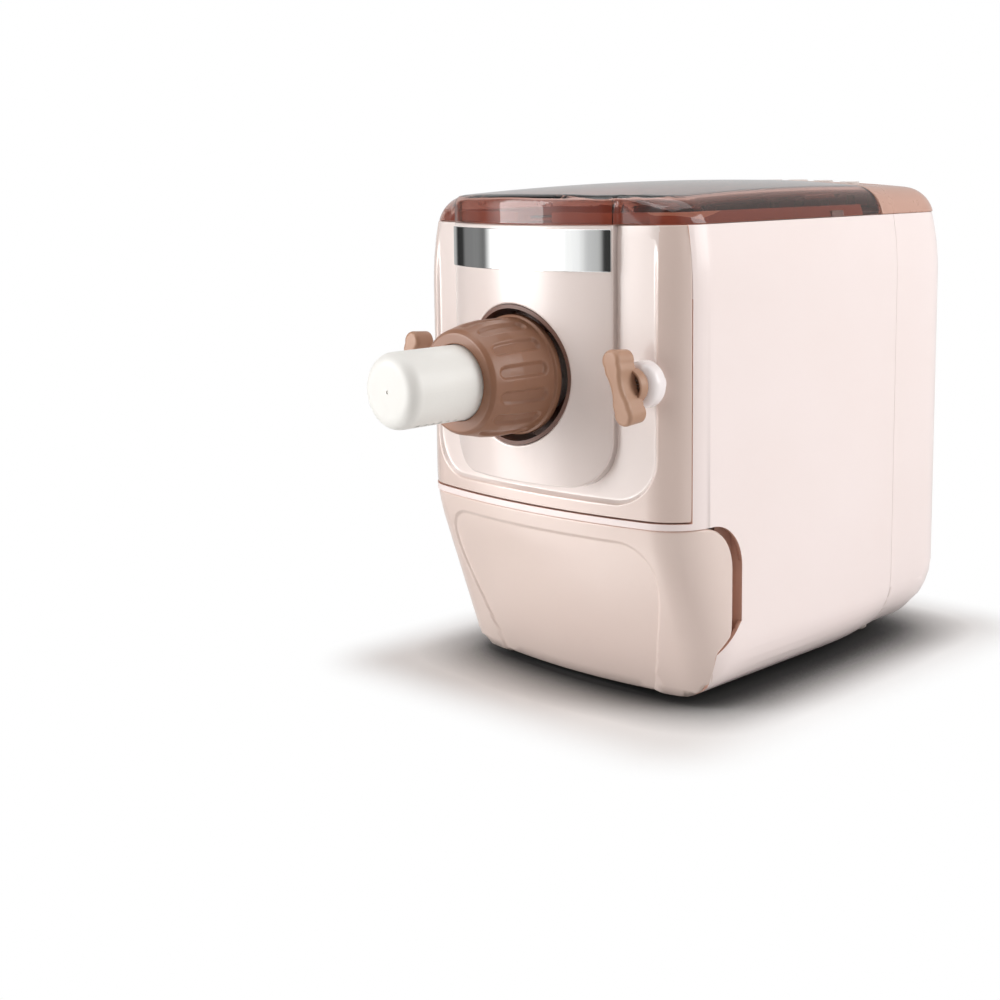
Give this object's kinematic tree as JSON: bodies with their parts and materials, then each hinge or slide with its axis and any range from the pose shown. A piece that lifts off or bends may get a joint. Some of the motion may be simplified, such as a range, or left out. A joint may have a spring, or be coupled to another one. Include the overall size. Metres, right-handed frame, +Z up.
{
  "type": "electric pasta maker",
  "caption": "Countertop machine that kneads dough under a smoked lid and extrudes pasta through a front nozzle, with drawer, clamp knobs and rear controls.",
  "frame": {"origin": "middle of the outer box in X and Y, at the worktop under the feet", "axes": "+X to the viewer's right when facing the front, +Y towards the rear cover, +Z up; the nozzle points along -Y"},
  "size_m": [0.21, 0.4014, 0.3],
  "materials": {
    "body_white": "smooth warm white ABS with a faint blush",
    "front_pearl": "pearl beige lacquered ABS",
    "chrome": "bright plated strip",
    "deck_tan": "satin tan ABS",
    "lid_smoke": "clear smoked brown polycarbonate",
    "inner_tan": "satin salmon brown ABS",
    "nut_brown": "satin brown nylon",
    "knob_tan": "satin light brown nylon",
    "cap_white": "smooth white acetal",
    "boss_white": "gloss white ABS",
    "tray_cream": "fine grained cream ABS",
    "chamber_clear": "milky ABS",
    "seal_grey": "soft silicone",
    "foot_rubber": "pale rubber",
    "steel": "drawn steel",
    "zinc": "die cast alloy",
    "bronze": "sintered bronze",
    "gear_nylon": "natural nylon",
    "motor_black": "black painted steel",
    "copper": "varnished windings on laminations",
    "fan_black": "black nylon",
    "panel_dark": "dark brown gloss",
    "display_glass": "dark display window",
    "button_white": "satin white buttons",
    "board_green": "circuit board with parts"
  },
  "bodies": {
    "machine": {"main_housing": "body_white", "front_panel": "front_pearl", "centre_plate": "front_pearl", "chrome_strip": "chrome", "rear_cover": "body_white", "rear_deck": "deck_tan", "inner_deck": "inner_tan", "base_plate": "tray_cream", "feet": "foot_rubber", "hinge_pins": "steel", "lid_switch": "fan_black", "port_ring": "nut_brown", "extrusion_barrel": "chamber_clear", "cap_seal": "seal_grey", "die_cap": "cap_white", "knob_bosses": "boss_white", "mixing_chamber": "chamber_clear", "chamber_seal": "seal_grey", "shaft_bush": "bronze", "gearbox_case": "zinc", "gearbox_cover": "zinc", "output_bearings": "steel", "intermediate_axle": "steel", "motor_can": "motor_black", "motor_bearings": "bronze", "motor_stator": "copper", "drive_frame": "steel", "control_panel": "panel_dark", "display_window": "display_glass", "control_board": "board_green", "power_board": "board_green", "power_inlet": "fan_black", "base_screws": "steel"},
    "lid": {"lid_shell": "lid_smoke", "lid_inner_frame": "inner_tan", "lid_magnet": "steel"},
    "drawer": {"drawer_front": "front_pearl", "drawer_tray": "tray_cream"},
    "nut": {"lock_nut": "nut_brown"},
    "knob_left": {"clamp_knob_left": "knob_tan", "clamp_stud_left": "steel"},
    "knob_right": {"clamp_knob_right": "knob_tan", "clamp_stud_right": "steel"},
    "mixer": {"mixing_shaft": "steel", "mixing_paddles": "cap_white", "extrusion_screw": "cap_white", "output_shaft": "steel", "output_gear": "gear_nylon"},
    "intermediate": {"intermediate_gear": "gear_nylon"},
    "motor_drive": {"drive_pinion": "steel", "motor_shaft": "steel", "motor_rotor": "copper", "cooling_fan": "fan_black"},
    "button_power": {"power_button": "button_white"},
    "button_mode": {"mode_button": "button_white"},
    "button_plus": {"plus_button": "button_white"},
    "button_minus": {"minus_button": "button_white"}
  },
  "joints": [
    {"name": "lid_hinge", "type": "hinge", "parent": "machine", "child": "lid", "pos_m": [0, 0.10895, 0.2911], "axis": [-1, 0, 0], "range_deg": [0, 78]},
    {"name": "drawer_slide", "type": "slide", "parent": "machine", "child": "drawer", "axis": [0, -1, 0], "range_m": [0, 0.055]},
    {"name": "nut_turn", "type": "hinge", "parent": "machine", "child": "nut", "pos_m": [0, -0.12425, 0.1925], "axis": [0, -1, 0], "range_deg": [0, 90]},
    {"name": "knob_left_turn", "type": "hinge", "parent": "machine", "child": "knob_left", "pos_m": [-0.0835, -0.10425, 0.1925], "axis": [0, -1, 0], "range_deg": [0, 90]},
    {"name": "knob_right_turn", "type": "hinge", "parent": "machine", "child": "knob_right", "pos_m": [0.0835, -0.10425, 0.1925], "axis": [0, 1, 0], "range_deg": [0, 90]},
    {"name": "mixer_spin", "type": "hinge", "parent": "machine", "child": "mixer", "pos_m": [0, 0, 0.1925], "axis": [0, -1, 0], "continuous": true},
    {"name": "intermediate_spin", "type": "hinge", "parent": "machine", "child": "intermediate", "pos_m": [0, 0, 0.1195], "axis": [0, -1, 0], "continuous": true},
    {"name": "motor_spin", "type": "hinge", "parent": "machine", "child": "motor_drive", "pos_m": [0, 0, 0.0655], "axis": [0, -1, 0], "continuous": true},
    {"name": "power_press", "type": "slide", "parent": "machine", "child": "button_power", "axis": [0, 0, -1], "range_m": [0, 0.001], "stiffness_N_per_m": 600},
    {"name": "mode_press", "type": "slide", "parent": "machine", "child": "button_mode", "axis": [0, 0, -1], "range_m": [0, 0.001], "stiffness_N_per_m": 600},
    {"name": "plus_press", "type": "slide", "parent": "machine", "child": "button_plus", "axis": [0, 0, -1], "range_m": [0, 0.001], "stiffness_N_per_m": 600},
    {"name": "minus_press", "type": "slide", "parent": "machine", "child": "button_minus", "axis": [0, 0, -1], "range_m": [0, 0.001], "stiffness_N_per_m": 600}
  ],
  "couplings": [
    {"joint": "intermediate_spin", "follows": "mixer_spin", "ratio": -4.6154},
    {"joint": "motor_spin", "follows": "mixer_spin", "ratio": 20.308}
  ]
}
